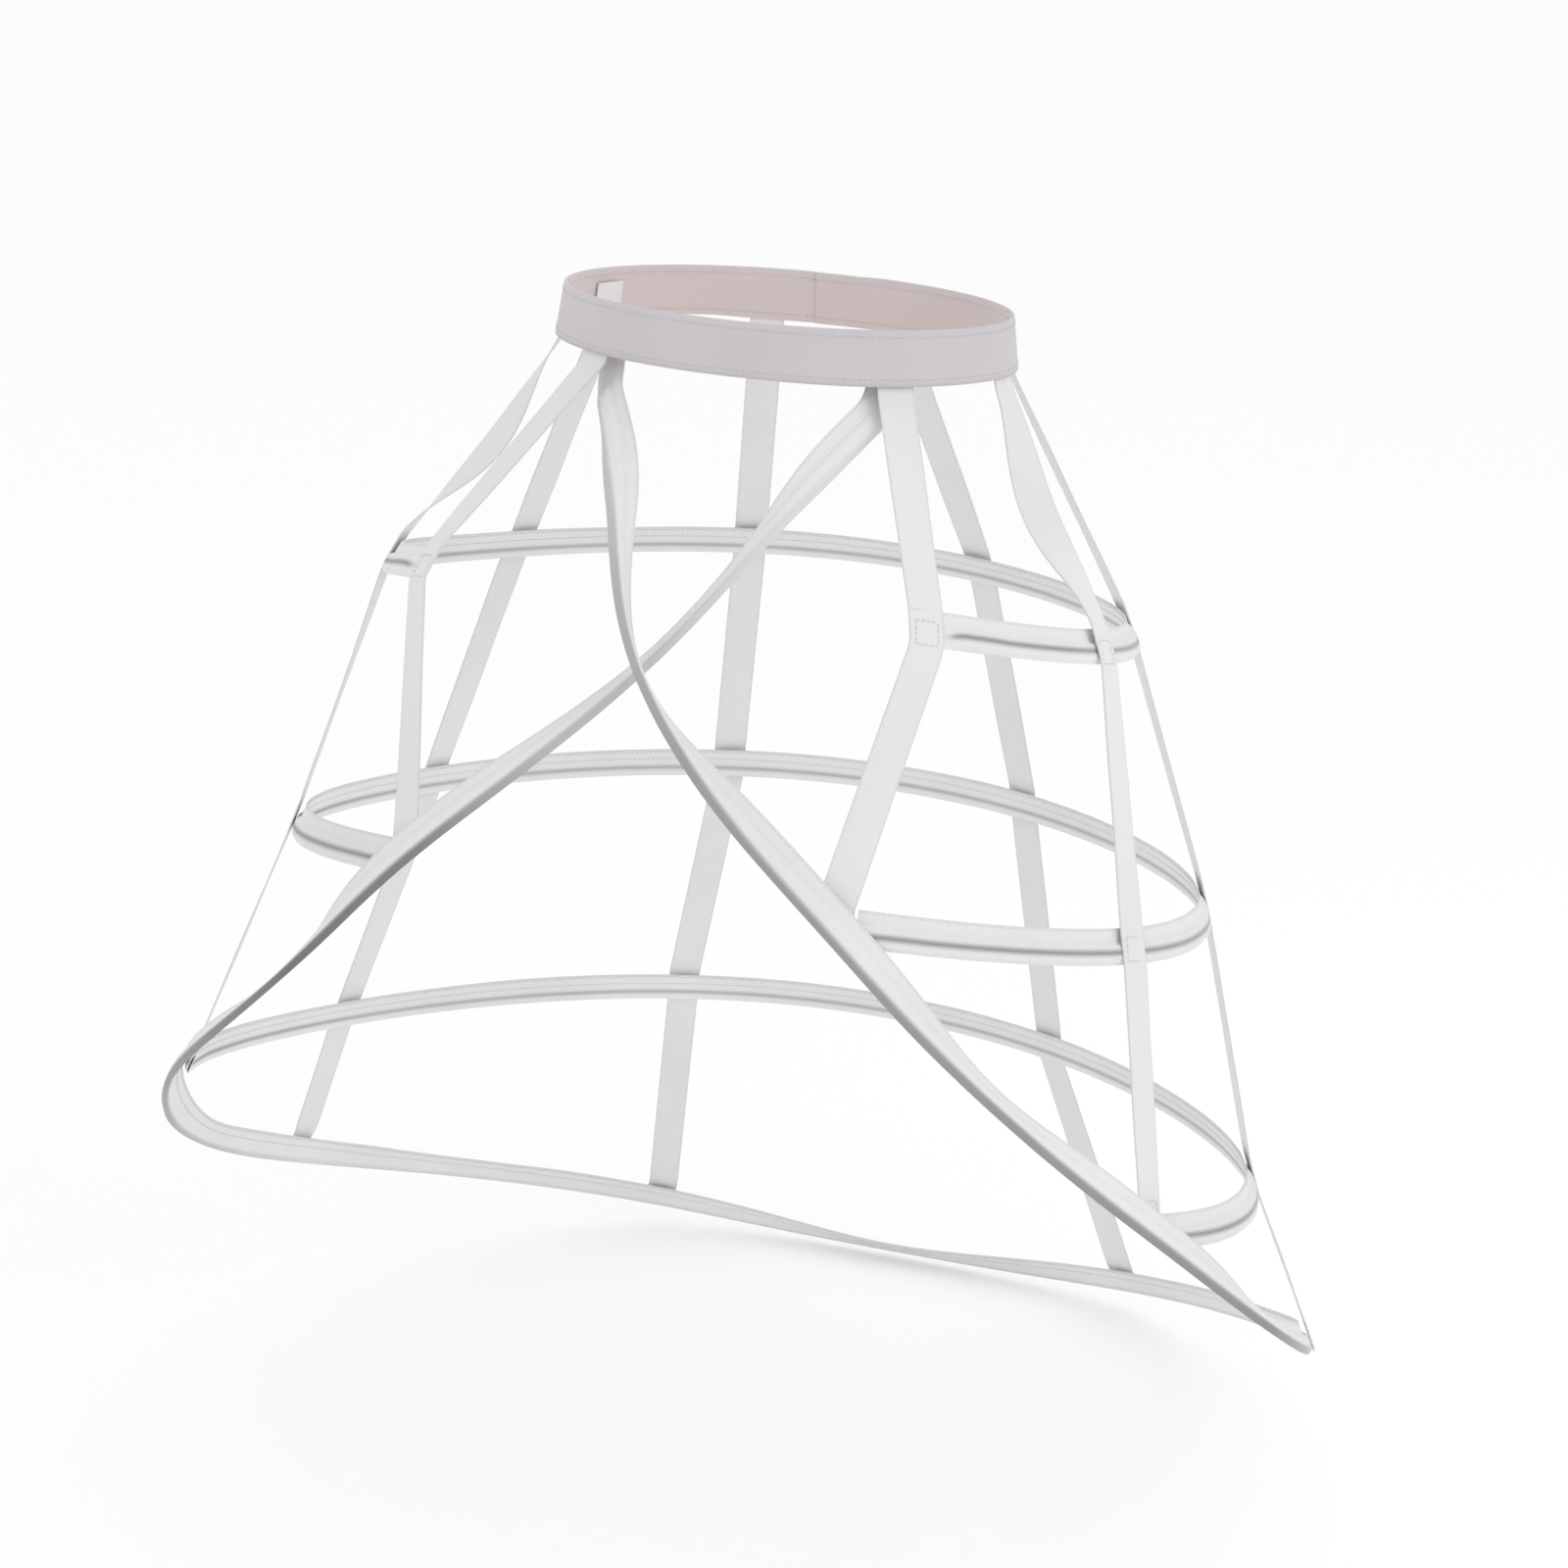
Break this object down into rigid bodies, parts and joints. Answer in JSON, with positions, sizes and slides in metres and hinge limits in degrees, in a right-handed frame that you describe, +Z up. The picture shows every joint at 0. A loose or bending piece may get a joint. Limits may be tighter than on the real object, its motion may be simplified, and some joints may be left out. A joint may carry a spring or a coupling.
{
  "type": "crinoline cage",
  "caption": "Open-front hoop skirt frame: ribbon-cased hoops hang on flat tapes from a fabric waistband, and a boned loop crosses in front and sweeps round as the hem.",
  "frame": {"origin": "centre of the waistband's lower edge", "axes": "+Z up towards the wearer's head, -Y towards the front where the loop crosses, +X towards the right of the picture"},
  "size_m": [0.6932, 0.6197, 0.735],
  "materials": {
    "band": "woven",
    "tape": "woven",
    "casing": "woven",
    "bone": "smooth",
    "tip": "smooth"
  },
  "bodies": {
    "root": {"waistband": "band", "front_tape_left": "tape", "front_tape_right": "tape", "front_side_tape_left": "tape", "front_side_tape_right": "tape", "back_side_tape_left": "tape", "back_side_tape_right": "tape", "back_tape_left": "tape", "back_tape_right": "tape", "upper_hoop_casing": "casing", "upper_hoop_bone": "bone", "upper_hoop_tips": "tip", "middle_hoop_casing": "casing", "middle_hoop_bone": "bone", "middle_hoop_tips": "tip", "lower_hoop_casing": "casing", "lower_hoop_bone": "bone", "lower_hoop_tips": "tip", "crossing_loop_casing": "casing", "crossing_loop_bone": "bone", "crossing_loop_tips": "tip"}
  },
  "joints": []
}
